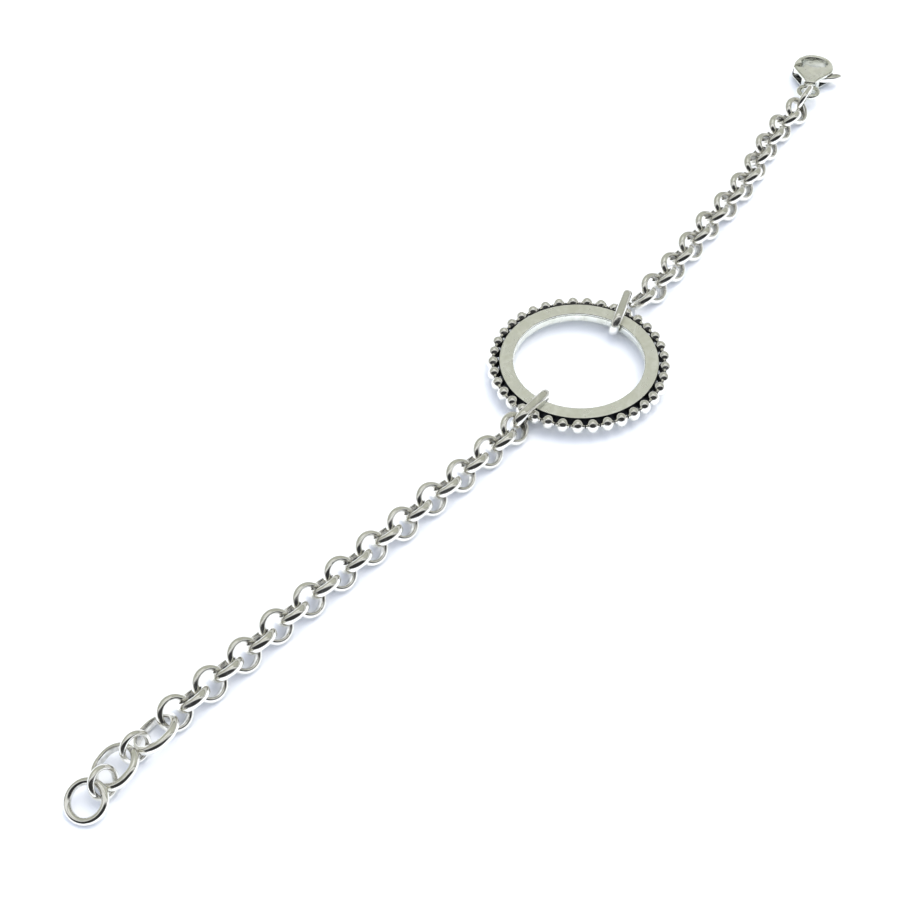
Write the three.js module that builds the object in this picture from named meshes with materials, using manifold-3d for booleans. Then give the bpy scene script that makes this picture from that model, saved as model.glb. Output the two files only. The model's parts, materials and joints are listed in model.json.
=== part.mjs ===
// A silver chain bracelet, laid out straight on a table, in millimetres with +Z up and +X along its length.
// A round ring with a beaded rim sits in the middle. A belcher (rolo) chain leaves it on each side through an
// oval link. The -X chain ends in an extender with a round end ring, the +X chain in a trigger clasp.
import * as THREE from "three";
import { mergeVertices } from "three/addons/utils/BufferGeometryUtils.js";
import Module from "manifold-3d";

const wasm = await Module();
wasm.setup();

// ---- Driving dimensions, millimetres and degrees ----
const RING = { inner: 10.3, outer: 12.5, thickness: 1.7, edge: 0.14, lift: 1.25, steps: 56 };
const BEADS = { count: 37, diameter: 1.84, circle: 13.46, neck: 0.5, sides: 6 };
const CHAIN_PITCH = 3.07;
const BELCHER = { outer: 2.62, wire: 0.88, width: 1.44 };
const OVAL = { outer: 2.35, wire: 0.92, width: 1.55, length: 9.1 };
const LARGE = { outer: 3.25, wire: 0.98, width: 1.28, length: 7.1 };
const SMALL = { outer: 2.4, wire: 0.75, width: 1.05 };
const END_RING = { outer: 3.1, wire: 1.06 };
const JUMP_RING = { outer: 2.55, wire: 1.05, length: 6.3 };
const LINK_STEPS = 14;
const ROLL = 45; // how far a belcher link leans, each the other way from the last

// Each chain: where its ring link and first link lie, and its heading at some of its links.
const CHAINS = {
  left: {
    outward: 180,
    count: 23,
    ringLink: { x: -12.72, y: 0.1, height: 2.31, heading: 179, pitch: -1.8, roll: 70 },
    firstLink: 17.15,
    bends: [[1, 176.6], [5, 174.5], [10, 173.8], [15, 174.8], [19, 176], [22, 174.4]],
    swayFrom: 0,
  },
  right: {
    outward: 0,
    count: 20,
    ringLink: { x: 13.2, y: 1.04, height: 2.37, heading: 18.8, pitch: -1.7, roll: 101.4 },
    firstLink: 18.3,
    bends: [[1, 0.9], [5, 5], [9, 2.2], [12, 5.8], [14, 14.8], [16, 6.9], [19, 1.1]],
    swayFrom: 1,
  },
};
const SWAY = { angle: 2.5, rate: 1.9 };

const CLASP = {
  thickness: 2.5,
  bevel: 0.35,
  eyeOuter: 2.2,
  eyeInner: 1.3,
  eyeThickness: 1.1,
  base: 2.0,
  baseHalf: 1.05,
  shoulder: 6.9,
  shoulderHalf: 3.75,
  tip: 11.6,
  openingAt: 9.0,
  openingLength: 1.35,
  openingHalf: 2.3,
  pocketAt: 3.3, // the back wall of the slot that the trigger works in
  slot: 1.3,
  slotOverlap: 0.1, // how far the slot runs on into the opening
  mouth: [1.5, 1.1], // from the pivot, the corner of the hook's mouth
  gateRoom: { past: 0.4, below: 1.2, side: 0.1 },
  pivot: [4.9, 0.6],
  pin: 0.42,
  clearance: 0.06,
};

// The trigger, from its pivot: a gate up to the hook's tip on one side, a thumb piece out of the other.
const TRIGGER = {
  thickness: 1.1,
  hub: 0.85,
  gate: 3.4,
  gateFrom: 25,
  gateTo: 60,
  thumb: [1.65, -5.3],
  thumbRadius: 0.6,
  back: [[-0.75, -1.6], [-0.2, -2.9], [0.25, -4.1]],
  front: [[1.75, -3.7], [1.45, -2.6], [1.2, -0.9], [2.2, 0.1]],
  gateBack: [1.1, 1.9],
  hubFrom: 75,
};

const SPRING = { strip: 0.14, width: 0.9, gap: 0.36, legs: 1.0, middle: 0.1 };

const degrees = THREE.MathUtils.degToRad;

// ---- Materials ----
function silver(colour, roughness) {
  return new THREE.MeshStandardMaterial({ color: colour, roughness, metalness: 1 });
}
const polished = () => silver(0xd9d9d6, 0.12);
const satin = () => silver(0xb9bab0, 0.38);
const blackened = () => silver(0x8f908c, 0.3);
const steel = () => silver(0xa4a7aa, 0.25);

// ---- Solids by manifold-3d ----
function solid(geometry) {
  const bare = geometry.index ? geometry.toNonIndexed() : geometry.clone();
  bare.deleteAttribute("normal");
  bare.deleteAttribute("uv");
  const merged = mergeVertices(bare, 1e-4);
  return new wasm.Manifold(
    new wasm.Mesh({
      numProp: 3,
      vertProperties: merged.attributes.position.array,
      triVerts: new Uint32Array(merged.index.array),
    }),
  );
}

function geometryOf(body) {
  const mesh = body.getMesh();
  const geometry = new THREE.BufferGeometry();
  geometry.setAttribute("position", new THREE.BufferAttribute(new Float32Array(mesh.vertProperties), 3));
  geometry.setIndex(new THREE.BufferAttribute(new Uint32Array(mesh.triVerts), 1));
  return geometry;
}

// ---- Shapes shared by several pieces ----
// A ring of half-round wire about Z: flat wide band inside, dome outside.
function bandRing({ outer, wire, width }, steps = LINK_STEPS) {
  const inner = outer - wire;
  const flat = 0.36 * width;
  const side = inner + 0.36 * wire;
  const crown = 0.2 * width;
  const profile = [
    [inner, -flat],
    [side, -width / 2],
    [outer, -crown],
    [outer, crown],
    [side, width / 2],
    [inner, flat],
    [inner, -flat],
  ].map(([radius, along]) => new THREE.Vector2(radius, along));
  return new THREE.LatheGeometry(profile, steps).rotateX(Math.PI / 2);
}

// A ring of round wire about Z.
function wireRing({ outer, wire }, steps = LINK_STEPS + 2, sides = 7) {
  return new THREE.TorusGeometry(outer - wire / 2, wire / 2, sides, steps);
}

// Parts the two halves of a round ring along X, which leaves an oval of the given length.
function ovalRing(geometry, { outer, length }) {
  const points = geometry.attributes.position;
  for (let i = 0; i < points.count; i += 1) {
    const x = points.getX(i);
    if (Math.abs(x) > 1e-3) points.setX(i, x + Math.sign(x) * (length / 2 - outer));
  }
  return geometry;
}

function add(parent, name, geometry, material) {
  const mesh = new THREE.Mesh(geometry, material);
  mesh.name = name;
  parent.add(mesh);
  return mesh;
}

// Lays a piece at a place: its own X points along its heading, and it pitches and rolls from there.
function lay(piece, { x, y }, { height, heading, pitch = 0, roll }) {
  piece.position.set(x, y, height);
  piece.rotation.set(degrees(roll), degrees(pitch), degrees(heading), "ZYX");
}

// ---- Centre ring and its beaded rim ----
function centreRing() {
  const { inner, outer, thickness, edge, steps } = RING;
  const half = thickness / 2;
  const profile = [
    [inner, -half + edge],
    [inner + edge, -half],
    [outer - edge, -half],
    [outer, -half + edge],
    [outer, half - edge],
    [outer - edge, half],
    [inner + edge, half],
    [inner, half - edge],
    [inner, -half + edge],
  ].map(([radius, along]) => new THREE.Vector2(radius, along));
  return new THREE.LatheGeometry(profile, steps).rotateX(Math.PI / 2);
}

// One wire drawn into beads: a torus whose tube swells to a ball at each bead and pinches between them.
function beadedWire() {
  const { count, diameter, circle, neck, sides } = BEADS;
  const radius = diameter / 2;
  const stations = [-0.95, -0.58, 0, 0.58, 0.95];
  const total = count * stations.length;
  const geometry = new THREE.TorusGeometry(circle, 1, sides, total);
  const points = geometry.attributes.position;
  const pitch = (2 * Math.PI) / count;
  for (let row = 0; row <= sides; row += 1) {
    for (let i = 0; i <= total; i += 1) {
      const bead = Math.floor(i / stations.length);
      const along = stations[i % stations.length] * radius;
      const angle = bead * pitch + along / circle;
      const tube = Math.max(neck / 2, Math.sqrt(radius * radius - along * along));
      const around = (row / sides) * 2 * Math.PI;
      const out = circle + tube * Math.cos(around);
      const at = row * (total + 1) + i;
      points.setXYZ(at, out * Math.cos(angle), out * Math.sin(angle), tube * Math.sin(around));
    }
  }
  return geometry;
}

// ---- Trigger clasp, drawn flat: X from the eye to the hook, the thumb piece on the -Y side ----
function pearShape() {
  const { base, baseHalf, shoulder, shoulderHalf, tip } = CLASP;
  const flank = { near: base + 1.4, half: baseHalf + 0.4, far: shoulder - 2.2, end: shoulder - 0.6 };
  const crown = { near: shoulder + 0.9, half: shoulderHalf - 0.5 };
  const shape = new THREE.Shape();
  shape.moveTo(base - 0.5, -baseHalf);
  shape.lineTo(base, -baseHalf);
  shape.bezierCurveTo(flank.near, -flank.half, flank.far, 1 - shoulderHalf, flank.end, 0.2 - shoulderHalf);
  shape.bezierCurveTo(crown.near, -shoulderHalf - 0.35, tip, -crown.half, tip, 0);
  shape.bezierCurveTo(tip, crown.half, crown.near, shoulderHalf + 0.35, flank.end, shoulderHalf - 0.2);
  shape.bezierCurveTo(flank.far, shoulderHalf - 1, flank.near, flank.half, base, baseHalf);
  shape.lineTo(base - 0.5, baseHalf);
  shape.closePath();
  return shape;
}

function plate(shape, thickness, bevel = 0, curveSegments = 6) {
  const geometry = new THREE.ExtrudeGeometry(shape, {
    depth: thickness - 2 * bevel,
    bevelEnabled: bevel > 0,
    bevelThickness: bevel,
    bevelSize: bevel,
    bevelOffset: -bevel,
    bevelSegments: 2,
    curveSegments,
  });
  return geometry.translate(0, 0, bevel - thickness / 2);
}

function disc([x, y], radius, thickness, sides = 20) {
  return new THREE.CylinderGeometry(radius, radius, thickness, sides).rotateX(Math.PI / 2).translate(x, y, 0);
}

function block([x0, x1], [y0, y1], thickness) {
  const geometry = new THREE.BoxGeometry(x1 - x0, y1 - y0, thickness);
  return geometry.translate((x0 + x1) / 2, (y0 + y1) / 2, 0);
}

// A point given from another.
const from = ([x, y], [alongX, alongY]) => [x + alongX, y + alongY];

// The body is a pear-shaped plate, slotted for the trigger, with the hook's mouth on the +Y side.
function claspBody() {
  const { thickness, bevel, eyeOuter, eyeInner, eyeThickness, pivot, pocketAt, slot, pin } = CLASP;
  const { openingAt, openingLength, openingHalf, clearance, slotOverlap, gateRoom, tip } = CLASP;
  const through = 2 * thickness;
  const beyond = 6;
  const round = disc([0, 0], 1, through, 22);
  const opening = round.scale(openingLength, openingHalf, 1).translate(openingAt, 0, 0);
  const [mouthX, mouthY] = from(pivot, CLASP.mouth);
  const swept = solid(disc(pivot, TRIGGER.gate + clearance, through, 32));
  const mouth = swept.intersect(solid(block([mouthX, tip], [mouthY, beyond], through)));
  const pocketEnd = openingAt - openingLength + slotOverlap;
  const pocket = solid(block([pocketAt, pocketEnd], [-beyond, beyond], slot));
  const swingSides = [pivot[1] - gateRoom.below, openingHalf - gateRoom.side];
  const swing = solid(block([pocketAt, openingAt - gateRoom.past], swingSides, slot));
  const cuts = [
    solid(disc([0, 0], eyeInner, through, 18)),
    solid(opening),
    mouth,
    pocket,
    swing,
    solid(disc(pivot, pin + clearance / 2, through, 12)),
  ];
  const eye = solid(disc([0, 0], eyeOuter, eyeThickness, 22));
  let body = solid(plate(pearShape(), thickness, bevel)).add(eye);
  for (const cut of cuts) {
    body = body.subtract(cut);
  }
  return geometryOf(body);
}

// One lever on the pin: the gate closes the hook's mouth and the thumb piece stands out of the other side.
function triggerLever() {
  const { pivot, pin, clearance } = CLASP;
  const { hub, gate, gateFrom, gateTo, thumb, thumbRadius, thickness, hubFrom } = TRIGGER;
  const [x, y] = pivot;
  const tip = from(pivot, thumb);
  const lean = Math.atan2(thumb[0], -thumb[1]);
  const back = TRIGGER.back.map((point) => from(pivot, point));
  const front = TRIGGER.front.map((point) => from(pivot, point));
  const blade = new THREE.Shape();
  blade.moveTo(x - hub, y);
  blade.quadraticCurveTo(...back[0], ...back[1]);
  const backTip = from(tip, [-thumbRadius * Math.cos(lean), -thumbRadius * Math.sin(lean)]);
  blade.quadraticCurveTo(...back[2], ...backTip);
  blade.absarc(...tip, thumbRadius, Math.PI + lean, 2 * Math.PI + lean);
  blade.quadraticCurveTo(...front[0], ...front[1]);
  blade.quadraticCurveTo(...front[2], ...front[3]);
  blade.absarc(x, y, gate, degrees(gateFrom), degrees(gateTo));
  blade.quadraticCurveTo(...from(pivot, TRIGGER.gateBack), ...from(pivot, [0.3 * hub, hub]));
  blade.absarc(x, y, hub, degrees(hubFrom), Math.PI);
  blade.closePath();
  const hole = solid(disc(pivot, pin + clearance, 2 * CLASP.thickness, 12));
  return geometryOf(solid(plate(blade, thickness, 0, 5)).subtract(hole));
}

// A flat strip bent into a U between the pocket's back wall and the trigger's hub.
function claspSpring() {
  const { strip, width, gap, legs, middle } = SPRING;
  const { pocketAt, pivot, clearance } = CLASP;
  const inner = gap / 2;
  const outer = inner + strip;
  const x = pocketAt + clearance + outer;
  const y = pivot[1] + middle - legs / 2;
  const outline = new THREE.Shape();
  outline.moveTo(x - outer, y + legs);
  outline.lineTo(x - outer, y);
  outline.absarc(x, y, outer, Math.PI, 2 * Math.PI, false);
  outline.lineTo(x + outer, y + legs);
  outline.lineTo(x + inner, y + legs);
  outline.lineTo(x + inner, y);
  outline.absarc(x, y, inner, 2 * Math.PI, Math.PI, true);
  outline.lineTo(x - inner, y + legs);
  outline.closePath();
  return plate(outline, width, 0, 5);
}

// ---- Laying out the chains ----
// Goes on from a place by a distance along a heading.
function step({ x, y }, distance, heading) {
  const turn = degrees(heading);
  return { x: x + distance * Math.cos(turn), y: y + distance * Math.sin(turn) };
}

const bracelet = new THREE.Group();
const linkHeight = BELCHER.outer * Math.sin(degrees(ROLL)) + 0.2 * BELCHER.width * Math.cos(degrees(ROLL));

const ringGroup = new THREE.Group();
ringGroup.position.z = RING.lift + RING.thickness / 2;
bracelet.add(ringGroup);
add(ringGroup, "centre_ring", centreRing(), satin());
add(ringGroup, "beaded_wire", beadedWire(), blackened());

// The heading at a link, in degrees, between the bends on either side of it.
function headingAt(bends, link) {
  const next = bends.find(([at]) => at >= link) ?? bends.at(-1);
  const last = bends.findLast(([at]) => at <= link) ?? bends[0];
  const share = next === last ? 0 : (link - last[0]) / (next[0] - last[0]);
  return THREE.MathUtils.lerp(last[1], next[1], share);
}

function layChain(side) {
  const { outward, count, ringLink, firstLink, bends, swayFrom } = CHAINS[side];
  const oval = add(bracelet, `${side}_ring_link`, ovalRing(bandRing(OVAL, 20), OVAL), polished());
  lay(oval, ringLink, ringLink);
  let place = step({ x: 0, y: 0 }, firstLink, outward);
  let heading = outward;
  for (let i = 1; i <= count; i += 1) {
    const name = `${side}_link_${String(i).padStart(2, "0")}`;
    const link = add(bracelet, name, bandRing(BELCHER), polished());
    lay(link, place, { height: linkHeight, heading, roll: i % 2 ? -ROLL : ROLL });
    if (i === count) break;
    heading = headingAt(bends, i) + SWAY.angle * Math.sin(SWAY.rate * (i + swayFrom));
    place = step(place, CHAIN_PITCH, heading);
  }
  return place;
}

const leftEnd = layChain("left");
const rightEnd = layChain("right");

// ---- Extender on the -X side: how far each piece lies from the last, and how it lies ----
const largeLink = () => ovalRing(bandRing(LARGE, 16), LARGE);
const smallLink = () => bandRing(SMALL);
const endRing = () => wireRing(END_RING);
const extender = [
  ["large_link_1", largeLink, [-3.77, -0.1], { height: 1.9, heading: 178, pitch: 3.9, roll: 28.8 }],
  ["small_link_1", smallLink, [-3.13, 0.4], { height: 2.3, heading: 176, roll: 112.4 }],
  ["large_link_2", largeLink, [-3.49, 0.41], { height: 1.8, heading: 180.1, pitch: 12.3, roll: 12 }],
  ["small_link_2", smallLink, [-2.61, -0.72], { height: 2.12, heading: 181.9, pitch: -11, roll: 121.4 }],
  ["end_ring", endRing, [-3.02, 0.19], { height: 1.51, heading: 178, pitch: 22.3, roll: -5.7 }],
];
let { x, y } = leftEnd;
for (const [name, make, [alongX, alongY], lie] of extender) {
  x += alongX;
  y += alongY;
  const fullName = name.includes("link") ? `extender_${name}` : name;
  lay(add(bracelet, fullName, make(), polished()), { x, y }, lie);
}

// ---- Clasp on the +X side, its eye end propped up by the jump ring ----
const jumpPlace = step(rightEnd, 3.31, 7.1);
const jumpRing = add(bracelet, "jump_ring", ovalRing(wireRing(JUMP_RING), JUMP_RING), polished());
lay(jumpRing, jumpPlace, { height: 2.49, heading: 8, roll: 104.7 });
const claspPlace = step(jumpPlace, 2.96, 11.7);
const clasp = new THREE.Group();
bracelet.add(clasp);
lay(clasp, claspPlace, { height: 2.1, heading: 22, pitch: 4.4, roll: 0 });
add(clasp, "clasp_body", claspBody(), satin());
add(clasp, "clasp_trigger", triggerLever(), polished());
add(clasp, "clasp_spring", claspSpring(), steel());
add(clasp, "clasp_pin", disc(CLASP.pivot, CLASP.pin, CLASP.thickness - 0.1, 12), steel());

// The origin goes to the middle of the bracelet's box, on the table.
bracelet.updateMatrixWorld(true);
const box = new THREE.Box3().setFromObject(bracelet, true);
bracelet.position.set(-(box.min.x + box.max.x) / 2, -(box.min.y + box.max.y) / 2, -box.min.z);

export default bracelet;
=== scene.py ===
"""A silver belcher chain bracelet with a beaded centre ring, an extender and a trigger clasp, in metres.

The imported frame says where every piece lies. This script makes the fine metalwork in those places,
finishes it in silver, and sets it on a pale table under soft studio light.
"""

import json
import logging
import math
import random
from dataclasses import dataclass, field
from enum import Enum
from typing import Callable, Iterable

import bmesh
import bpy
import numpy as np
from mathutils import Matrix, Vector


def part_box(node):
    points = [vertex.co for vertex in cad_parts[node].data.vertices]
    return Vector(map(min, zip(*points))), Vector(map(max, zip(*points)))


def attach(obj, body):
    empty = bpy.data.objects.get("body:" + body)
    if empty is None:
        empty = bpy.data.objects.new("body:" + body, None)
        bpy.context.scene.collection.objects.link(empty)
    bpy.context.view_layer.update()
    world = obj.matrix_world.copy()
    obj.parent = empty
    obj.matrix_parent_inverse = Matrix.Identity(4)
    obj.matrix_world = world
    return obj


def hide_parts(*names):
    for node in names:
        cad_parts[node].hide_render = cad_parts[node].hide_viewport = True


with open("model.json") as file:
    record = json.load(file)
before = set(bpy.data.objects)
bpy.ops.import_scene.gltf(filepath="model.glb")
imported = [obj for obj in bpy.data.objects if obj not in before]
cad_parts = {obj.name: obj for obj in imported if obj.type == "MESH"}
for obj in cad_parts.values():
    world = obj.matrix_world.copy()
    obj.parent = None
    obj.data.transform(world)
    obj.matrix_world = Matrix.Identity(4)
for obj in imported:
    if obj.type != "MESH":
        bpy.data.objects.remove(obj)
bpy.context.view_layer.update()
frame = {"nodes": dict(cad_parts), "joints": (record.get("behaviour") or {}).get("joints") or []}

LOG = logging.getLogger("bracelet")
MM = 0.001
FULL_TURN = 2 * math.pi
SHELTER = "shelter"  # 0 where the polishing wheel reaches, 1 in a recess: black oxide on the ring's wall and the beaded wire, tarnish and painted shade in the links' hole ends, painted shade in the ring's fine line and the clasp's slot
POLISH = "polish"  # 1 where a satin piece is burnished bright

Rgb = tuple[float, float, float]


class Slot(Enum):
    """The record's material slots."""

    POLISHED = "polished_silver"
    SATIN = "satin_silver"
    BLACKENED = "blackened_silver"
    STEEL = "spring_steel"


class Section(Enum):
    """The cross-sections that the links are made of."""

    DOMED = "domed"
    ROUND = "round"


class Join(Enum):
    """How one shape is worked into another."""

    UNION = "UNION"
    CUT = "DIFFERENCE"
    COMMON = "INTERSECT"


# ---- Node helpers ----


class NodeSheet:
    """Adds nodes to a tree and links them in one call."""

    def __init__(self, tree: bpy.types.NodeTree) -> None:
        """Starts on a tree, empty or not."""
        self.tree = tree
        self.count = 0

    def add(self, kind: str, inputs: dict | None = None, **settings: object) -> bpy.types.Node:
        """Adds a node.

        Args:
            kind: the node's type name.
            inputs: values or sockets for its inputs, by name or index.
            **settings: properties of the node itself.

        Returns:
            The new node.
        """
        node = self.tree.nodes.new(kind)
        node.location = (180 * (self.count % 8), -220 * (self.count // 8))
        self.count += 1
        for name, value in settings.items():
            setattr(node, name, value)
        for key, value in (inputs or {}).items():
            if isinstance(value, bpy.types.NodeSocket):
                self.tree.links.new(value, node.inputs[key])
            else:
                node.inputs[key].default_value = value
        return node

    def math(self, operation: str, *values: object, clamp: bool = False) -> bpy.types.NodeSocket:
        """Adds a Math node on numbers or sockets and returns its result."""
        inputs = dict(enumerate(values))
        return self.add("ShaderNodeMath", inputs, operation=operation, use_clamp=clamp).outputs[0]

    def mix(self, factor: object, first: object, second: object) -> bpy.types.NodeSocket:
        """Mixes two colours by a factor and returns the colour."""
        node = self.add("ShaderNodeMix", data_type="RGBA")
        for key, value in (("Factor_Float", factor), ("A_Color", first), ("B_Color", second)):
            socket = next(s for s in node.inputs if s.identifier == key)
            if isinstance(value, bpy.types.NodeSocket):
                self.tree.links.new(value, socket)
            else:
                socket.default_value = value
        return next(s for s in node.outputs if s.identifier == "Result_Color")

    def ramp(self, value: bpy.types.NodeSocket, low: float, high: float) -> bpy.types.NodeSocket:
        """Eases a value from 0 at low to 1 at high, and returns it."""
        node = self.add("ShaderNodeMapRange", {"Value": value, "From Min": low, "From Max": high})
        node.interpolation_type = "SMOOTHSTEP"
        return node.outputs[0]


def rgba(colour: Rgb) -> tuple[float, float, float, float]:
    """A colour with full alpha."""
    return (*colour, 1.0)


def new_group(name: str, inputs: Iterable[tuple[str, str, float]],
              outputs: Iterable[str]) -> bpy.types.NodeTree:
    """Makes an empty shader node group with its sockets.

    Args:
        name: the group's name.
        inputs: name, socket type and default value of each input.
        outputs: names of the number outputs.

    Returns:
        The group, with its Group Input and Group Output nodes.
    """
    group = bpy.data.node_groups.new(name, "ShaderNodeTree")
    for label, kind, value in inputs:
        socket = group.interface.new_socket(name=label, in_out="INPUT", socket_type=kind)
        if kind == "NodeSocketFloat":
            socket.default_value = value
    for label in outputs:
        group.interface.new_socket(name=label, in_out="OUTPUT", socket_type="NodeSocketFloat")
    group.nodes.new("NodeGroupInput").location = (-300, 0)
    group.nodes.new("NodeGroupOutput").location = (1500, 0)
    return group


def scratch_group() -> bpy.types.NodeTree:
    """Fine handling scratches that run several ways, and the soft clouding of worn metal."""
    group = new_group(
        "Handling Wear",
        [("Vector", "NodeSocketVector", 0), ("Scratch Scale", "NodeSocketFloat", 900.0),
         ("Cloud Scale", "NodeSocketFloat", 500.0)],
        ["Scratches", "Cloud"],
    )
    sheet = NodeSheet(group)
    source = group.nodes["Group Input"].outputs
    total: object = 0.0
    stretch = 0.06
    for turn in (0.5, 1.9, 2.7):
        turned = sheet.add("ShaderNodeMapping", {"Vector": source["Vector"], "Rotation": (0.3, 0.2, turn)})
        drawn = sheet.add("ShaderNodeMapping", {"Vector": turned.outputs[0], "Scale": (stretch, 1, 1)})
        noise = sheet.add("ShaderNodeTexNoise", {"Vector": drawn.outputs[0], "Scale": source["Scratch Scale"],
                                                 "Detail": 3.0, "Roughness": 0.6})
        line = sheet.ramp(noise.outputs["Fac"], 0.56, 0.68)
        total = sheet.math("ADD", total, line)
    cloud = sheet.add("ShaderNodeTexNoise", {"Vector": source["Vector"], "Scale": source["Cloud Scale"],
                                             "Detail": 4.0, "Roughness": 0.55})
    result = group.nodes["Group Output"].inputs
    group.links.new(sheet.math("MINIMUM", total, 1.0), result["Scratches"])
    group.links.new(sheet.ramp(cloud.outputs["Fac"], 0.3, 0.7), result["Cloud"])
    return group


def make_oxide_and_shade_group() -> bpy.types.NodeTree:
    """Where black oxide stays and where shade is painted in: a piece's sheltered places, with a ragged edge.
    """
    group = new_group(
        "Oxide And Painted Shade",
        [("Vector", "NodeSocketVector", 0), ("Shelter", "NodeSocketFloat", 0.0),
         ("Raggedness", "NodeSocketFloat", 0.35), ("Grain Scale", "NodeSocketFloat", 1600.0)],
        ["Mask"],
    )
    sheet = NodeSheet(group)
    source = group.nodes["Group Input"].outputs
    grain = sheet.add("ShaderNodeTexNoise", {"Vector": source["Vector"], "Scale": source["Grain Scale"],
                                             "Detail": 3.0})
    shift = sheet.math("MULTIPLY", sheet.math("SUBTRACT", grain.outputs["Fac"], 0.5), source["Raggedness"])
    mask = sheet.ramp(sheet.math("ADD", source["Shelter"], shift), 0.3, 0.7)
    group.links.new(mask, group.nodes["Group Output"].inputs["Mask"])
    return group


# ---- Finishes ----


@dataclass(frozen=True)
class MetalFinish:
    """One finish of the metal, with its handling wear and the dark colour in its recesses, partly real oxide,
    partly painted shade.
    """

    name: str
    slot: Slot
    colour: Rgb
    worn_colour: Rgb
    oxide_and_shade_colour: Rgb
    roughness: float
    burnished_roughness: float
    oxide_and_shade_roughness: float = 0.55
    scratch_scale: float = 900.0
    scratch_depth: float = 0.15
    cloud_scale: float = 500.0
    cloud_depth: float = 0.1
    cloud_roughness: float = 0.05
    scratch_roughness: float = 0.12
    raggedness: float = 0.35
    bump_distance: float = 2e-5

    def material(self, wear: bpy.types.NodeTree, oxide_and_shade_nodes: bpy.types.NodeTree) -> bpy.types.Material:
        """Builds the finish as a material.

        Args:
            wear: the handling wear node group.
            oxide_and_shade_nodes: the node group for oxide and painted shade in recesses.

        Returns:
            The material.
        """
        material = bpy.data.materials.new(self.name)
        material.use_nodes = True
        tree = material.node_tree
        sheet = NodeSheet(tree)
        shader = tree.nodes["Principled BSDF"]
        shader.inputs["Metallic"].default_value = 1.0
        place = sheet.add("ShaderNodeTexCoord").outputs["Object"]
        shelter = sheet.add("ShaderNodeAttribute", attribute_name=SHELTER).outputs["Fac"]
        polish = sheet.add("ShaderNodeAttribute", attribute_name=POLISH).outputs["Fac"]
        marks = sheet.add("ShaderNodeGroup", node_tree=wear)
        oxide_and_shade_node = sheet.add("ShaderNodeGroup", node_tree=oxide_and_shade_nodes)
        for node in (marks, oxide_and_shade_node):
            tree.links.new(place, node.inputs["Vector"])
        marks.inputs["Scratch Scale"].default_value = self.scratch_scale
        marks.inputs["Cloud Scale"].default_value = self.cloud_scale
        tree.links.new(shelter, oxide_and_shade_node.inputs["Shelter"])
        oxide_and_shade_node.inputs["Raggedness"].default_value = self.raggedness
        scratches, cloud = marks.outputs["Scratches"], marks.outputs["Cloud"]
        mask = oxide_and_shade_node.outputs["Mask"]
        tint = sheet.mix(cloud, rgba(self.colour), rgba(self.worn_colour))
        # Recesses are painted dark: real oxide in some, painted shade in others.
        colour = sheet.mix(mask, tint, rgba(self.oxide_and_shade_colour))
        tree.links.new(colour, shader.inputs["Base Color"])
        span = self.burnished_roughness - self.roughness
        rough = sheet.math("MULTIPLY_ADD", polish, span, self.roughness)
        rough = sheet.math("MULTIPLY_ADD", cloud, self.cloud_roughness, rough)
        rough = sheet.math("MULTIPLY_ADD", scratches, self.scratch_roughness, rough)
        to_oxide = sheet.math("SUBTRACT", self.oxide_and_shade_roughness, rough)
        rough = sheet.math("MULTIPLY_ADD", mask, to_oxide, rough, clamp=True)
        tree.links.new(rough, shader.inputs["Roughness"])
        height = sheet.math("MULTIPLY", cloud, self.cloud_depth)
        height = sheet.math("MULTIPLY_ADD", scratches, -self.scratch_depth, height)
        bump = sheet.add("ShaderNodeBump", {"Height": height, "Distance": self.bump_distance,
                                            "Strength": 1.0})
        tree.links.new(bump.outputs["Normal"], shader.inputs["Normal"])
        return material


class Finishes:
    """The four metal finishes of the bracelet, built once."""

    def __init__(self) -> None:
        """Builds the shared node groups and every material."""
        wear, oxide_and_shade_nodes = scratch_group(), make_oxide_and_shade_group()
        finishes = (
            # Each finish's third colour is painted into its recesses: black oxide on the beaded wire and the
            # ring's wall, tarnish and painted shade in the links' hole ends, painted shade in the ring's fine
            # line and the clasp's slot.
            MetalFinish("Polished Silver", Slot.POLISHED, (0.93, 0.92, 0.88), (0.86, 0.85, 0.79),
                        (0.13, 0.12, 0.1), roughness=0.07, burnished_roughness=0.07, oxide_and_shade_roughness=0.4,
                        scratch_depth=0.12, cloud_depth=0.25, bump_distance=6e-6),
            MetalFinish("Satin Silver", Slot.SATIN, (0.88, 0.89, 0.83), (0.72, 0.73, 0.64),
                        (0.015, 0.016, 0.02), roughness=0.26, burnished_roughness=0.08, scratch_scale=1300.0,
                        cloud_scale=520.0, cloud_depth=0.9, scratch_depth=0.5, cloud_roughness=0.14,
                        bump_distance=1.6e-5),
            MetalFinish("Blackened Silver", Slot.BLACKENED, (0.93, 0.92, 0.88), (0.87, 0.86, 0.8),
                        (0.015, 0.016, 0.02), roughness=0.09, burnished_roughness=0.09, scratch_depth=0.1,
                        cloud_depth=0.2, bump_distance=5e-6),
            MetalFinish("Spring Steel", Slot.STEEL, (0.6, 0.61, 0.62), (0.5, 0.51, 0.52),
                        (0.1, 0.1, 0.1), roughness=0.22, burnished_roughness=0.22),
        )
        self.by_slot = {finish.slot: finish.material(wear, oxide_and_shade_nodes) for finish in finishes}

    def dress(self, piece: bpy.types.Object, slot: Slot) -> None:
        """Gives a piece its finish."""
        piece.data.materials.clear()
        piece.data.materials.append(self.by_slot[slot])


# ---- Places and shared metalwork ----


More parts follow.
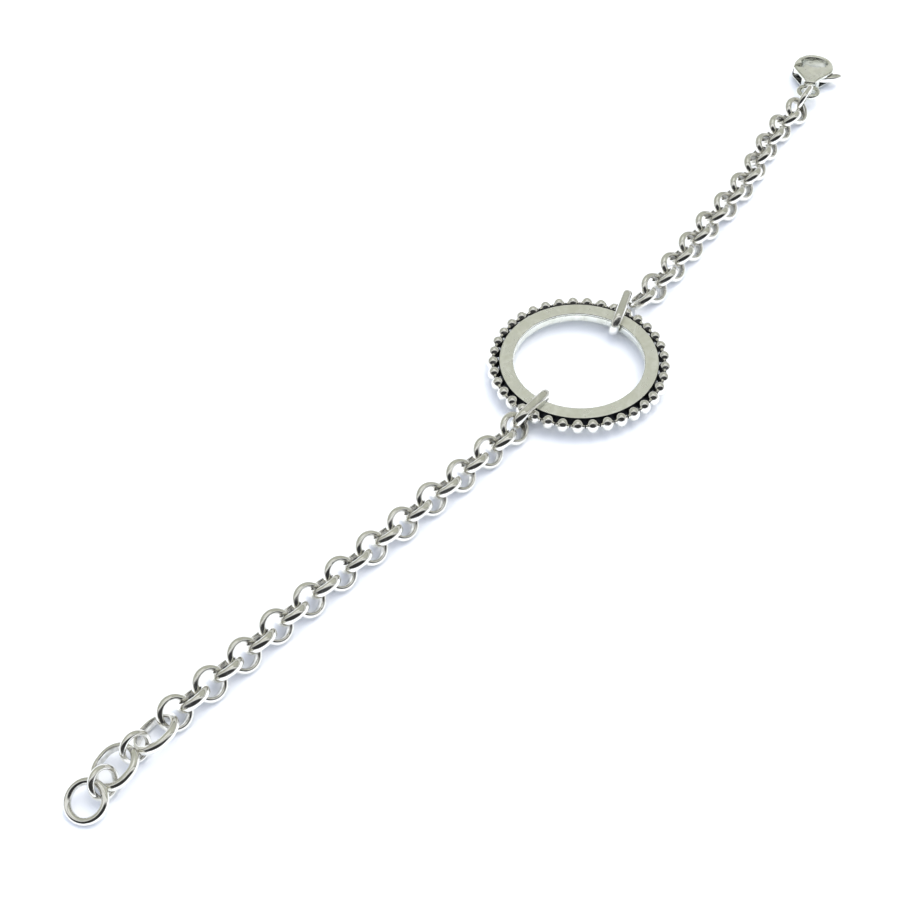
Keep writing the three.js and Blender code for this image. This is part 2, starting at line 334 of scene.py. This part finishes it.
def seat_of(node: str) -> Matrix:
    """How a ring-shaped CAD node lies: its length is local X and its hole's axis is local Z.

    Args:
        node: the CAD node's name.

    Returns:
        The matrix that takes a shape made flat about the origin to that place.
    """
    vertices = frame["nodes"][node].data.vertices
    points = np.unique(np.round([v.co for v in vertices], 6), axis=0)
    centre = points.mean(axis=0)
    spread, axes = np.linalg.eigh(np.cov((points - centre).T))
    facing = Vector(axes[:, 0])
    along = Vector(axes[:, 2])
    if spread[2] < 1.02 * spread[1]:  # round, so it has no length of its own
        along = Vector((1, 0, 0)) - facing * facing.x
    if along.x < 0:
        along.negate()
    if facing.y > 0:
        facing.negate()
    along.normalize()
    across = facing.cross(along)
    turn = Matrix((along, across, facing)).transposed().to_4x4()
    return Matrix.Translation(Vector(centre)) @ turn


def close_up(bm: bmesh.types.BMesh) -> None:
    """Merges doubles and turns every face outwards."""
    bmesh.ops.remove_doubles(bm, verts=bm.verts, dist=1e-4)
    bmesh.ops.recalc_face_normals(bm, faces=bm.faces)


def spin_section(bm: bmesh.types.BMesh, edges: list[bmesh.types.BMEdge], steps: int) -> None:
    """Spins a closed section in the XZ plane once round Z and closes the result."""
    verts = list({v for edge in edges for v in edge.verts})
    bmesh.ops.spin(bm, geom=verts + edges, cent=(0, 0, 0), axis=(0, 0, 1), dvec=(0, 0, 0),
                   angle=FULL_TURN, steps=steps, use_merge=True)
    close_up(bm)


def finish_piece(bm: bmesh.types.BMesh, name: str, body: str, place: Matrix,
                 masks: dict[str, Callable[[Vector], float]]) -> bpy.types.Object:
    """Turns a bmesh in millimetres into a piece in its place, riding on its body.

    Args:
        bm: the shape, in millimetres, about its own origin. It is freed.
        name: the piece's name.
        body: the CAD body that it rides on.
        place: where it goes, in metres.
        masks: for each attribute, its value at a point of the shape.

    Returns:
        The piece.
    """
    for label, mask in masks.items():
        layer = bm.verts.layers.float.new(label)
        for vertex in bm.verts:
            vertex[layer] = mask(vertex.co)
    for face in bm.faces:
        face.smooth = True
    mesh = bpy.data.meshes.new(name)
    bmesh.ops.transform(bm, matrix=place @ Matrix.Scale(MM, 4), verts=bm.verts)
    bm.to_mesh(mesh)
    bm.free()
    piece = bpy.data.objects.new(name, mesh)
    bpy.context.scene.collection.objects.link(piece)
    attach(piece, body)
    return piece


def ease(value: float, low: float, high: float) -> float:
    """Eases from 0 at low to 1 at high."""
    share = min(1.0, max(0.0, (value - low) / (high - low)))
    return share * share * (3 - 2 * share)


@dataclass(frozen=True)
class LinkForm:
    """One kind of link: a ring of wire, in millimetres, with a solder seam."""

    outer: float
    wire: float
    width: float
    section: Section = Section.DOMED
    length: float = 0.0
    steps: int = 72
    sides: int = 26
    waist: float = 0.36
    inside_flatness: float = 0.42
    inside_fullness: float = 0.8
    # How dark the ends of the hole are painted: partly tarnish, partly painted shade where the next link
    # hides them.
    tarnish_and_painted_shade: float = 0.42
    seam_depth: float = 0.045
    seam_spread: float = 0.1

    @property
    def inner(self) -> float:
        """Radius of the hole, before it is drawn out."""
        return self.outer - self.wire

    def section_point(self, flat: Vector) -> Vector:
        """Takes a point of a unit circle to the wire's section, inner side to -X."""
        if self.section is Section.ROUND:
            centre = self.outer - self.wire / 2
            return Vector((centre + flat.x * self.wire / 2, 0, flat.y * self.width / 2))
        middle = self.inner + self.waist * self.wire
        reach = self.outer - middle
        if flat.x < 0:
            reach = middle - self.inner
            up = math.copysign(abs(flat.y) ** self.inside_fullness, flat.y)
            flat = Vector((-abs(flat.x) ** self.inside_flatness, up, 0))
        return Vector((middle + reach * flat.x, 0, flat.y * self.width / 2))

    def shape(self, seam: float) -> bmesh.types.BMesh:
        """Builds the link flat about the origin.

        Args:
            seam: the angle of the solder seam, in radians.

        Returns:
            The link, in millimetres.
        """
        bm = bmesh.new()
        bmesh.ops.create_circle(bm, cap_ends=False, radius=1, segments=self.sides)
        for vertex in bm.verts:
            vertex.co = self.section_point(vertex.co)
        spin_section(bm, list(bm.edges), self.steps)
        self.pinch(bm, seam)
        self.draw_out(bm)
        return bm

    def pinch(self, bm: bmesh.types.BMesh, seam: float) -> None:
        """Sinks the wire a little across its solder seam."""
        middle = self.outer - self.wire / 2
        for vertex in bm.verts:
            angle = math.atan2(vertex.co.y, vertex.co.x) - seam
            away = abs(math.remainder(angle, FULL_TURN)) * middle
            sink = self.seam_depth * (1 - ease(away, 0, 2 * self.seam_spread))
            core = Vector((vertex.co.x, vertex.co.y, 0)).normalized() * middle
            vertex.co = vertex.co.lerp(core, sink)

    def draw_out(self, bm: bmesh.types.BMesh) -> None:
        """Draws a round link out to its length."""
        half = max(0.0, self.length / 2 - self.outer)
        for vertex in bm.verts:
            vertex.co.x += half * max(-1.0, min(1.0, vertex.co.x / 1e-2))

    def shelter(self, point: Vector) -> float:
        """How sheltered a point is: the ends of the hole, where the next link rubs and hides, darkened partly
        as tarnish and partly as painted shade from the next link.
        """
        half = max(0.0, self.length / 2 - self.outer)
        straight = max(-half, min(half, point.x))
        radius = math.hypot(point.x - straight, point.y)
        inside = 1 - ease(radius, self.inner + 0.1 * self.wire, self.inner + 0.55 * self.wire)
        return self.tarnish_and_painted_shade * inside

    def make(self, node: str, seam: float, finishes: Finishes) -> bpy.types.Object:
        """Makes the link that stands for a CAD node, in its place and finish."""
        piece = finish_piece(self.shape(seam), f"silver_{node}", node, seat_of(node), {SHELTER: self.shelter})
        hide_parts(node)
        finishes.dress(piece, Slot.POLISHED)
        return piece


# ---- Centre piece ----


@dataclass
class CentrePiece:
    """The flat ring and the beaded wire round it, in millimetres."""

    inner: float = 10.3
    outer: float = 12.5
    thickness: float = 1.7
    edge: float = 0.16
    groove: float = 0.08
    groove_width: float = 0.17
    groove_drop: float = 0.36
    ring_steps: int = 288
    bead_count: int = 37
    bead_radius: float = 1.02
    bead_height: float = 1.22
    bead_circle: float = 13.46
    neck: float = 0.25
    bead_sides: int = 28
    bead_stations: int = 13
    seed: int = 11
    pieces: list[bpy.types.Object] = field(default_factory=list)

    def ring_outline(self, bm: bmesh.types.BMesh) -> list[bmesh.types.BMEdge]:
        """Draws the ring's section: a flat bar with soft edges and a fine line turned inside.

        Args:
            bm: the empty mesh that it is drawn in.

        Returns:
            The edges of the closed section.
        """
        half = self.thickness / 2
        line = half - self.groove_drop
        corners = [(self.outer, half), (self.inner, half), (self.inner, line + self.groove_width / 2),
                   (self.inner + self.groove, line), (self.inner, line - self.groove_width / 2),
                   (self.inner, -half), (self.outer, -half)]
        verts = [bm.verts.new((x, 0, z)) for x, z in corners]
        bm.faces.new(verts)
        soft = [verts[0], verts[1], verts[5], verts[6]]
        bmesh.ops.bevel(bm, geom=soft, offset=self.edge, segments=5, profile=0.5, affect="VERTICES",
                        material=-1)
        face = bm.faces[:][0]
        edges = list(face.edges)
        bmesh.ops.delete(bm, geom=[face], context="FACES_ONLY")
        return edges

    def ring(self) -> bmesh.types.BMesh:
        """Spins the flat ring."""
        bm = bmesh.new()
        edges = self.ring_outline(bm)
        long_edges = [edge for edge in edges if edge.calc_length() > 4 * self.edge]
        cuts = bmesh.ops.subdivide_edges(bm, edges=long_edges, cuts=2)
        self.hold_edges(cuts["geom_inner"])
        spin_section(bm, list(bm.edges), self.ring_steps)
        return bm

    def hold_edges(self, geometry: list) -> None:
        """Slides the new points out towards a flat's ends, so that the flat shades flat."""
        half, middle = self.thickness / 2, (self.inner + self.outer) / 2
        for vertex in (g for g in geometry if isinstance(g, bmesh.types.BMVert)):
            if abs(abs(vertex.co.z) - half) < 1e-4:
                reach = (self.outer - self.inner) / 2 - 1.25 * self.edge
                vertex.co.x = middle + math.copysign(reach, vertex.co.x - middle)

    def ring_shelter(self, point: Vector) -> float:
        """The outer wall behind the beads is black oxide; the fine turned line inside is painted dark, a
        painted shade.
        """
        radius = math.hypot(point.x, point.y)
        wall = ease(radius, self.outer - 0.6 * self.edge, self.outer - 0.25 * self.edge)
        # Painted shade along the fine line inside the ring.
        line = abs(point.z - self.thickness / 2 + self.groove_drop)
        groove = ease(radius, self.inner + 0.5 * self.groove, self.inner + self.groove)
        return max(wall, groove if line < self.groove_width else 0.0)

    def ring_polish(self, point: Vector) -> float:
        """The inner wall is burnished bright."""
        radius = math.hypot(point.x, point.y)
        return 1 - ease(radius, self.inner + 0.3 * self.edge, self.inner + 1.1 * self.edge)

    def bead(self, bm: bmesh.types.BMesh, size: float) -> None:
        """Turns one bead and its half necks about the wire's own line, from its few outline points.

        Args:
            bm: the empty mesh that it is made in.
            size: the bead's radius.
        """
        pitch = FULL_TURN * self.bead_circle / self.bead_count
        reach = math.atan2(math.sqrt(size**2 - self.neck**2), self.neck)
        outline = [Vector((-pitch / 2, 0, self.neck))]
        for i in range(self.bead_stations):
            angle = (2 * i / (self.bead_stations - 1) - 1) * reach
            outline.append(Vector((size * math.sin(angle), 0, size * math.cos(angle))))
        outline.append(Vector((pitch / 2, 0, self.neck)))
        verts = [bm.verts.new(point) for point in outline]
        edges = [bm.edges.new(pair) for pair in zip(verts, verts[1:])]
        bmesh.ops.spin(bm, geom=verts + edges, cent=(0, 0, 0), axis=(1, 0, 0), dvec=(0, 0, 0),
                       angle=FULL_TURN, steps=self.bead_sides, use_merge=True)

    def beads(self) -> bmesh.types.BMesh:
        """Wraps the beaded wire round the ring, each bead a little different."""
        whole = bmesh.new()
        draw = random.Random(self.seed)
        stretch = self.bead_height / self.bead_radius
        layer = whole.verts.layers.float.new(SHELTER)
        for index in range(self.bead_count):
            before = set(whole.verts)
            self.bead(whole, self.bead_radius * draw.uniform(0.97, 1.0))
            turn = FULL_TURN * index / self.bead_count
            for vertex in set(whole.verts) - before:
                along, out, up = vertex.co.x, vertex.co.y, vertex.co.z
                vertex[layer] = self.bead_shelter(along, out)
                radius = self.bead_circle + out
                angle = turn + along / self.bead_circle
                vertex.co = Vector((radius * math.cos(angle), radius * math.sin(angle), up * stretch))
        close_up(whole)
        return whole

    def bead_shelter(self, along: float, out: float) -> float:
        """Black in the necks and against the ring, bright on the beads themselves."""
        between = ease(abs(along), 0.97 * self.bead_radius, 1.05 * self.bead_radius)
        behind = ease(-out, 0.9 * self.bead_radius, 1.02 * self.bead_radius)
        return max(between, behind)

    def build(self, finishes: Finishes) -> None:
        """Makes the ring and the beaded wire in their places."""
        low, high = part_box("centre_ring")
        place = Matrix.Translation((low + high) / 2)
        masks = {SHELTER: self.ring_shelter, POLISH: self.ring_polish}
        ring = finish_piece(self.ring(), "satin_centre_ring", "ring", place, masks)
        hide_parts("centre_ring")
        finishes.dress(ring, Slot.SATIN)
        wire = finish_piece(self.beads(), "silver_beaded_wire", "ring", place, {})
        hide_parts("beaded_wire")
        finishes.dress(wire, Slot.BLACKENED)
        self.pieces = [ring, wire]


# ---- Chains ----


@dataclass
class Chains:
    """Every link of the two chains, the ring links and the extender."""

    belcher: LinkForm = LinkForm(outer=2.62, wire=0.88, width=1.44)
    ring_link: LinkForm = LinkForm(outer=2.35, wire=0.92, width=1.55, length=9.1)
    large: LinkForm = LinkForm(outer=3.25, wire=0.98, width=1.28, length=7.1)
    small: LinkForm = LinkForm(outer=2.4, wire=0.75, width=1.05)
    end_ring: LinkForm = LinkForm(outer=3.1, wire=1.06, width=1.06, section=Section.ROUND, sides=24, steps=96)
    jump_ring: LinkForm = LinkForm(outer=2.55, wire=1.05, width=1.05, section=Section.ROUND, length=6.3,
                                   sides=24)
    seed: int = 5
    pieces: list[bpy.types.Object] = field(default_factory=list)

    def form_of(self, node: str) -> LinkForm | None:
        """The kind of link that a CAD node is, or None for a node of another sub-assembly."""
        kinds = {"ring_link": self.ring_link, "large_link": self.large, "small_link": self.small,
                 "end_ring": self.end_ring, "jump_ring": self.jump_ring, "_link_": self.belcher}
        return next((form for word, form in kinds.items() if word in node), None)

    def build(self, finishes: Finishes) -> None:
        """Makes every link in its place, its seam turned its own way."""
        draw = random.Random(self.seed)
        for node in sorted(frame["nodes"]):
            form = self.form_of(node)
            if form is not None:
                self.pieces.append(form.make(node, draw.uniform(0, FULL_TURN), finishes))


# ---- Trigger clasp ----


@dataclass(frozen=True)
class Knot:
    """A point of an outline, in millimetres: smooth with free handles, smooth by itself, or a corner."""

    at: tuple[float, float]
    before: tuple[float, float] | None = None
    after: tuple[float, float] | None = None
    corner: bool = False


def ellipse_knots(centre: tuple[float, float], half_x: float, half_y: float) -> list[Knot]:
    """The four knots of an ellipse."""
    x, y = centre
    return [Knot((x - half_x, y)), Knot((x, y + half_y)), Knot((x + half_x, y)), Knot((x, y - half_y))]


def plate_of(outlines: list[list[Knot]], thickness: float, bevel: float,
             steps: int = 14) -> bmesh.types.BMesh:
    """Makes a flat plate with rounded edges from its outline and the outlines of its holes.

    Args:
        outlines: the outer outline and the holes inside it.
        thickness: the plate's thickness.
        bevel: the radius of its edges.
        steps: how finely each outline is drawn between knots.

    Returns:
        The plate, in millimetres, its middle at z = 0.
    """
    curve = bpy.data.curves.new("plate", "CURVE")
    curve.dimensions = "2D"
    curve.fill_mode = "BOTH"
    curve.extrude = thickness / 2 - bevel
    curve.bevel_depth = bevel
    curve.offset = -bevel
    curve.bevel_resolution = 4
    for knots in outlines:
        spline = curve.splines.new("BEZIER")
        spline.bezier_points.add(len(knots) - 1)
        spline.use_cyclic_u = True
        spline.resolution_u = steps
        for point, knot in zip(spline.bezier_points, knots):
            point.co = (*knot.at, 0)
            kind = "VECTOR" if knot.corner else "AUTO"
            point.handle_left_type = "FREE" if knot.before else kind
            point.handle_right_type = "FREE" if knot.after else kind
            if knot.before:
                point.handle_left = (*knot.before, 0)
            if knot.after:
                point.handle_right = (*knot.after, 0)
    holder = bpy.data.objects.new("plate", curve)
    bpy.context.scene.collection.objects.link(holder)
    bm = bmesh_of(holder)
    bpy.data.curves.remove(curve)
    return bm


def bmesh_of(holder: bpy.types.Object) -> bmesh.types.BMesh:
    """Takes an object's finished shape as a clean bmesh and removes the object."""
    graph = bpy.context.evaluated_depsgraph_get()
    mesh = bpy.data.meshes.new_from_object(holder.evaluated_get(graph))
    bpy.data.objects.remove(holder)
    bm = bmesh.new()
    bm.from_mesh(mesh)
    bpy.data.meshes.remove(mesh)
    close_up(bm)
    return bm


def holder_of(bm: bmesh.types.BMesh) -> bpy.types.Object:
    """Puts a bmesh in an object for a modifier to work on, and frees it."""
    bmesh.ops.recalc_face_normals(bm, faces=bm.faces)
    mesh = bpy.data.meshes.new("blank")
    bm.to_mesh(mesh)
    bm.free()
    holder = bpy.data.objects.new("blank", mesh)
    bpy.context.scene.collection.objects.link(holder)
    return holder


def combine(base: bmesh.types.BMesh, others: list[tuple[Join, bmesh.types.BMesh]]) -> bmesh.types.BMesh:
    """Joins shapes to a base, cuts them out of it, or keeps what it has in common with them.

    Args:
        base: the shape to work on. It is freed.
        others: how each shape is worked in, and the shape, which is freed.

    Returns:
        The new shape.
    """
    for join, other in others:
        holder, tool = holder_of(base), holder_of(other)
        modifier = holder.modifiers.new("combine", "BOOLEAN")
        modifier.solver = "EXACT"
        modifier.operation = join.value
        modifier.object = tool
        base = bmesh_of(holder)
        bpy.data.objects.remove(tool)
    return base


def box_shape(x: tuple[float, float], y: tuple[float, float], thickness: float) -> bmesh.types.BMesh:
    """A block about z = 0."""
    bm = bmesh.new()
    bmesh.ops.create_cube(bm, size=1)
    bmesh.ops.scale(bm, vec=(x[1] - x[0], y[1] - y[0], thickness), verts=bm.verts)
    bmesh.ops.translate(bm, vec=((x[0] + x[1]) / 2, (y[0] + y[1]) / 2, 0), verts=bm.verts)
    return bm


def disc_shape(centre: tuple[float, float], radius: float, thickness: float,
               sides: int = 64) -> bmesh.types.BMesh:
    """A round block about z = 0."""
    bm = bmesh.new()
    bmesh.ops.create_cone(bm, cap_ends=True, segments=sides, radius1=radius, radius2=radius, depth=thickness)
    bmesh.ops.translate(bm, vec=(*centre, 0), verts=bm.verts)
    return bm


@dataclass
class TriggerClasp:
    """The clasp: body, trigger, spring and pin, drawn flat in millimetres with the eye at the origin."""

    heading: float = 22.0
    pitch: float = 4.4
    roll: float = 0.0
    pivot: tuple[float, float] = (4.9, 0.6)
    thickness: float = 2.5
    bevel: float = 0.42
    opening: tuple[float, float] = (8.9, 0.0)
    opening_half: tuple[float, float] = (1.6, 2.35)
    slot: float = 1.3
    step: float = 0.002
    pocket: tuple[float, float] = (3.3, 7.75)
    swing_x: tuple[float, float] = (3.3, 8.6)
    swing_y: tuple[float, float] = (-0.6, 2.2)
    mouth: tuple[float, float] = (6.4, 1.7)
    gate: float = 3.46
    beyond: float = 12.0
    eye_radius: float = 1.75
    eye_wire: float = 0.5
    trigger_thickness: float = 1.1
    trigger_bevel: float = 0.3
    sharp_angle: float = 40.0
    pieces: list[bpy.types.Object] = field(default_factory=list)

    def place(self) -> Matrix:
        """Where the clasp lies, found from its trigger's pivot."""
        turn = (Matrix.Rotation(math.radians(self.heading), 4, "Z")
                @ Matrix.Rotation(math.radians(self.pitch), 4, "Y")
                @ Matrix.Rotation(math.radians(self.roll), 4, "X"))
        joint = next(j for j in frame["joints"] if j["child"] == "clasp_trigger")
        pivot = Vector((self.pivot[0] * MM, self.pivot[1] * MM, 0))
        return Matrix.Translation(Vector(joint["pos_m"]) - turn @ pivot) @ turn

    def pear(self) -> list[Knot]:
        """The outline of the body: narrow at the eye, round at the hook."""
        return [
            Knot((1.5, -1.05), corner=True),
            Knot((2.0, -1.05), before=(1.8, -1.05), after=(3.4, -1.45)),
            Knot((6.3, -3.55), before=(4.7, -2.75), after=(7.8, -4.1)),
            Knot((11.6, 0.0), before=(11.6, -3.25), after=(11.6, 3.25)),
            Knot((6.3, 3.55), before=(7.8, 4.1), after=(4.7, 2.75)),
            Knot((2.0, 1.05), before=(3.4, 1.45), after=(1.8, 1.05)),
            Knot((1.5, 1.05), corner=True),
        ]

    def blade(self) -> list[Knot]:
        """The outline of the trigger: hub, thumb piece and gate."""
        smooth = [(4.05, 0.6), (4.28, -1.2), (4.85, -2.9), (5.95, -4.9), (6.75, -5.28), (7.1, -4.55),
                  (6.42, -2.6), (6.35, -1.0), (7.1, 0.7)]
        ends = [Knot((7.95, 2.0), corner=True), Knot((7.4, 2.9)), Knot((6.62, 3.5), corner=True)]
        return [*map(Knot, smooth), *ends, Knot((5.7, 2.2)), Knot((4.9, 1.45)), Knot((4.3, 1.2))]

    def eye(self) -> bmesh.types.BMesh:
        """The round wire loop that the jump ring passes through."""
        bm = bmesh.new()
        bmesh.ops.create_circle(bm, segments=20, radius=self.eye_wire)
        bmesh.ops.rotate(bm, verts=bm.verts, matrix=Matrix.Rotation(math.pi / 2, 3, "X"))
        bmesh.ops.translate(bm, verts=bm.verts, vec=(self.eye_radius, 0, 0))
        spin_section(bm, list(bm.edges), 72)
        return bm

    def body(self) -> bmesh.types.BMesh:
        """The body, slotted for the trigger, with the hook's mouth cut on its far side."""
        opening = ellipse_knots(self.opening, *self.opening_half)
        plate = plate_of([self.pear(), opening], self.thickness, self.bevel)
        through = 2 * self.thickness
        sweep = disc_shape(self.pivot, self.gate, through)
        corner = box_shape((self.mouth[0], self.beyond), (self.mouth[1], self.beyond), 2 * through)
        mouth = combine(sweep, [(Join.COMMON, corner)])
        return combine(plate, [
            (Join.UNION, self.eye()),
            (Join.CUT, mouth),
            (Join.CUT, box_shape(self.pocket, (-self.beyond, self.beyond), self.slot)),
            (Join.CUT, box_shape(self.swing_x, self.swing_y, self.slot - self.step)),
        ])

    def face_polish(self, point: Vector) -> float:
        """The rounded edges are burnished, the flat faces satin."""
        half = self.thickness / 2
        return 1 - ease(abs(point.z), half - 0.2 * self.bevel, half - 0.02 * self.bevel)

    def recess(self, point: Vector) -> float:
        """The slot is painted dark inside, a painted shade."""
        deep = abs(point.z) < self.slot / 2 + 0.02
        return 0.6 if deep and self.pocket[0] - 0.1 < point.x < self.swing_x[1] else 0.0

    def build(self, finishes: Finishes) -> None:
        """Makes the body and the trigger, and dresses the spring and the pin."""
        place = self.place()
        masks = {SHELTER: self.recess, POLISH: self.face_polish}
        body = finish_piece(self.body(), "satin_clasp_body", "clasp_body", place, masks)
        trigger_plate = plate_of([self.blade()], self.trigger_thickness, self.trigger_bevel)
        trigger = finish_piece(trigger_plate, "silver_clasp_trigger", "clasp_trigger", place, {})
        made = ((body, "clasp_body", Slot.SATIN), (trigger, "clasp_trigger", Slot.POLISHED))
        for piece, node, slot in made:
            piece.data.set_sharp_from_angle(angle=math.radians(self.sharp_angle))
            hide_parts(node)
            finishes.dress(piece, slot)
            self.pieces.append(piece)
        for node in ("clasp_spring", "clasp_pin"):
            finishes.dress(frame["nodes"][node], Slot.STEEL)


# ---- Table, light and camera ----


@dataclass
class Studio:
    """The pale table, the soft light round it and the camera, in millimetres from the ring's centre."""

    camera_at: tuple[float, float, float] = (-149.25, -95.83, 183.29)
    camera_aim: tuple[float, float, float] = (-24.94, 6.29, 0.0)
    camera_roll: float = -2.11
    lens: float = 64.33
    sensor: float = 36.0
    nearest: float = 10.0
    table_size: float = 4.0
    table_colour: Rgb = (0.88, 0.9, 0.93)
    table_roughness: float = 0.7
    table_specular: float = 0.2
    sky_low: Rgb = (0.98, 1.04, 1.2)
    sky_high: Rgb = (4.4, 4.3, 4.0)
    far_sky: Rgb = (0.43, 0.445, 0.388)
    near_sky: Rgb = (0.8, 0.81, 0.8)
    low_sky: Rgb = (0.6, 0.61, 0.585)
    top_sky: Rgb = (0.8, 0.81, 0.78)
    shade: Rgb = (0.03, 0.03, 0.03)
    shade_elevation: float = 36.0
    shade_half_width: float = 66.0
    shade_half_height: float = 33.0
    seam: float = 0.035
    seam_height: float = 0.4
    lamp_elevation: float = 58.0
    lamp_turn: float = -38.0

    def ring_centre(self) -> Vector:
        """The ring's centre on the table, in metres."""
        low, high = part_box("centre_ring")
        centre = (low + high) / 2
        return Vector((centre.x, centre.y, 0))

    def table(self) -> None:
        """Lays the plain table."""
        bm = bmesh.new()
        bmesh.ops.create_grid(bm, x_segments=2, y_segments=2, size=self.table_size / 2)
        mesh = bpy.data.meshes.new("table")
        bm.to_mesh(mesh)
        bm.free()
        table = bpy.data.objects.new("table", mesh)
        bpy.context.scene.collection.objects.link(table)
        material = bpy.data.materials.new("Pale Table")
        material.use_nodes = True
        shader = material.node_tree.nodes["Principled BSDF"]
        shader.inputs["Base Color"].default_value = rgba(self.table_colour)
        shader.inputs["Roughness"].default_value = self.table_roughness
        shader.inputs["Specular IOR Level"].default_value = self.table_specular
        mesh.materials.append(material)

    def towards(self, elevation: float, away: bool = False) -> Vector:
        """A direction on the camera's side or the far side, at an elevation in degrees."""
        flat = Vector(self.camera_at) - Vector(self.camera_aim)
        flat.z = 0
        flat.normalize()
        angle = math.radians(elevation)
        return flat * (-1 if away else 1) * math.cos(angle) + Vector((0, 0, math.sin(angle)))

    def share(self, sheet: NodeSheet, way: bpy.types.NodeSocket, along: Vector) -> bpy.types.NodeSocket:
        """How far a direction points along another."""
        return sheet.add("ShaderNodeVectorMath", {0: way, 1: along}, operation="DOT_PRODUCT").outputs["Value"]

    def shade_mask(self, sheet: NodeSheet, way: bpy.types.NodeSocket) -> bpy.types.NodeSocket:
        """The wide dark patch of the tent on the camera's side."""
        middle = self.towards(self.shade_elevation)
        side = middle.cross(Vector((0, 0, 1))).normalized()
        up = side.cross(middle)
        wide = math.sin(math.radians(self.shade_half_width))
        tall = math.sin(math.radians(self.shade_half_height))
        across = sheet.math("DIVIDE", self.share(sheet, way, side), wide)
        above = sheet.math("DIVIDE", self.share(sheet, way, up), tall)
        square = sheet.math("MULTIPLY_ADD", across, across, sheet.math("MULTIPLY", above, above))
        inside = sheet.ramp(square, 1.35, 0.75)
        front = sheet.ramp(self.share(sheet, way, middle), 0.0, 0.2)
        return sheet.math("MULTIPLY", inside, front)

    def line(self, sheet: NodeSheet, value: bpy.types.NodeSocket, at: float,
             half: float) -> bpy.types.NodeSocket:
        """A thin soft line where a value crosses a level."""
        off = sheet.math("ABSOLUTE", sheet.math("SUBTRACT", value, at))
        return sheet.ramp(off, half, 0.3 * half)

    def light(self) -> None:
        """Sets the light tent: soft on the table, dark in places for the metal to mirror."""
        world = bpy.data.worlds.new("Light Tent")
        bpy.context.scene.world = world
        world.use_nodes = True
        tree = world.node_tree
        sheet = NodeSheet(tree)
        way = sheet.add("ShaderNodeTexCoord").outputs["Generated"]
        nearness = self.share(sheet, way, self.towards(0))
        height = self.share(sheet, way, Vector((0, 0, 1)))
        far = sheet.mix(sheet.ramp(height, 0.34, 0.46), rgba(self.low_sky), rgba(self.far_sky))
        far = sheet.mix(sheet.ramp(height, 0.86, 0.93), far, rgba(self.top_sky))
        tone = sheet.mix(sheet.ramp(nearness, -0.06, 0.06), far, rgba(self.near_sky))
        dark = sheet.math("MAXIMUM", self.shade_mask(sheet, way), self.line(sheet, nearness, 0.0, self.seam))
        dark = sheet.math("MAXIMUM", dark, self.line(sheet, height, self.seam_height, self.seam))
        tone = sheet.mix(dark, tone, rgba(self.shade))
        around = Matrix.Rotation(math.radians(self.lamp_turn), 3, "Z")
        lamp_way = around @ self.towards(self.lamp_elevation, away=True)
        lamp = sheet.ramp(self.share(sheet, way, lamp_way), 0.8, 0.98)
        soft = sheet.mix(lamp, rgba(self.sky_low), rgba(self.sky_high))
        glossy = sheet.add("ShaderNodeLightPath").outputs["Is Glossy Ray"]
        seen = sheet.mix(glossy, soft, tone)
        background = tree.nodes["Background"]
        tree.links.new(seen, background.inputs["Color"])

    def camera(self) -> None:
        """Sets the camera."""
        data = bpy.data.cameras.new("camera")
        data.lens = self.lens
        data.sensor_width = self.sensor
        camera = bpy.data.objects.new("camera", data)
        bpy.context.scene.collection.objects.link(camera)
        centre = self.ring_centre()
        at = centre + Vector(self.camera_at) * MM
        aim = centre + Vector(self.camera_aim) * MM
        camera.location = at
        facing = (aim - at).to_track_quat("-Z", "Y").to_matrix()
        camera.rotation_euler = (facing @ Matrix.Rotation(math.radians(self.camera_roll), 3, "Z")).to_euler()
        data.clip_start = self.nearest * MM
        bpy.context.scene.camera = camera

    def build(self) -> None:
        """Sets up the studio."""
        self.table()
        self.light()
        self.camera()
        bpy.context.scene.view_settings.view_transform = "Standard"


def main() -> None:
    """Builds the bracelet and its studio, and reports each piece."""
    logging.basicConfig(level=logging.INFO, format="%(message)s")
    finishes = Finishes()
    for part in (CentrePiece(), Chains(), TriggerClasp()):
        part.build(finishes)
        for piece in part.pieces:
            LOG.info("%s: %d faces", piece.name, len(piece.data.polygons))
    Studio().build()


if __name__ == "__main__":
    main()
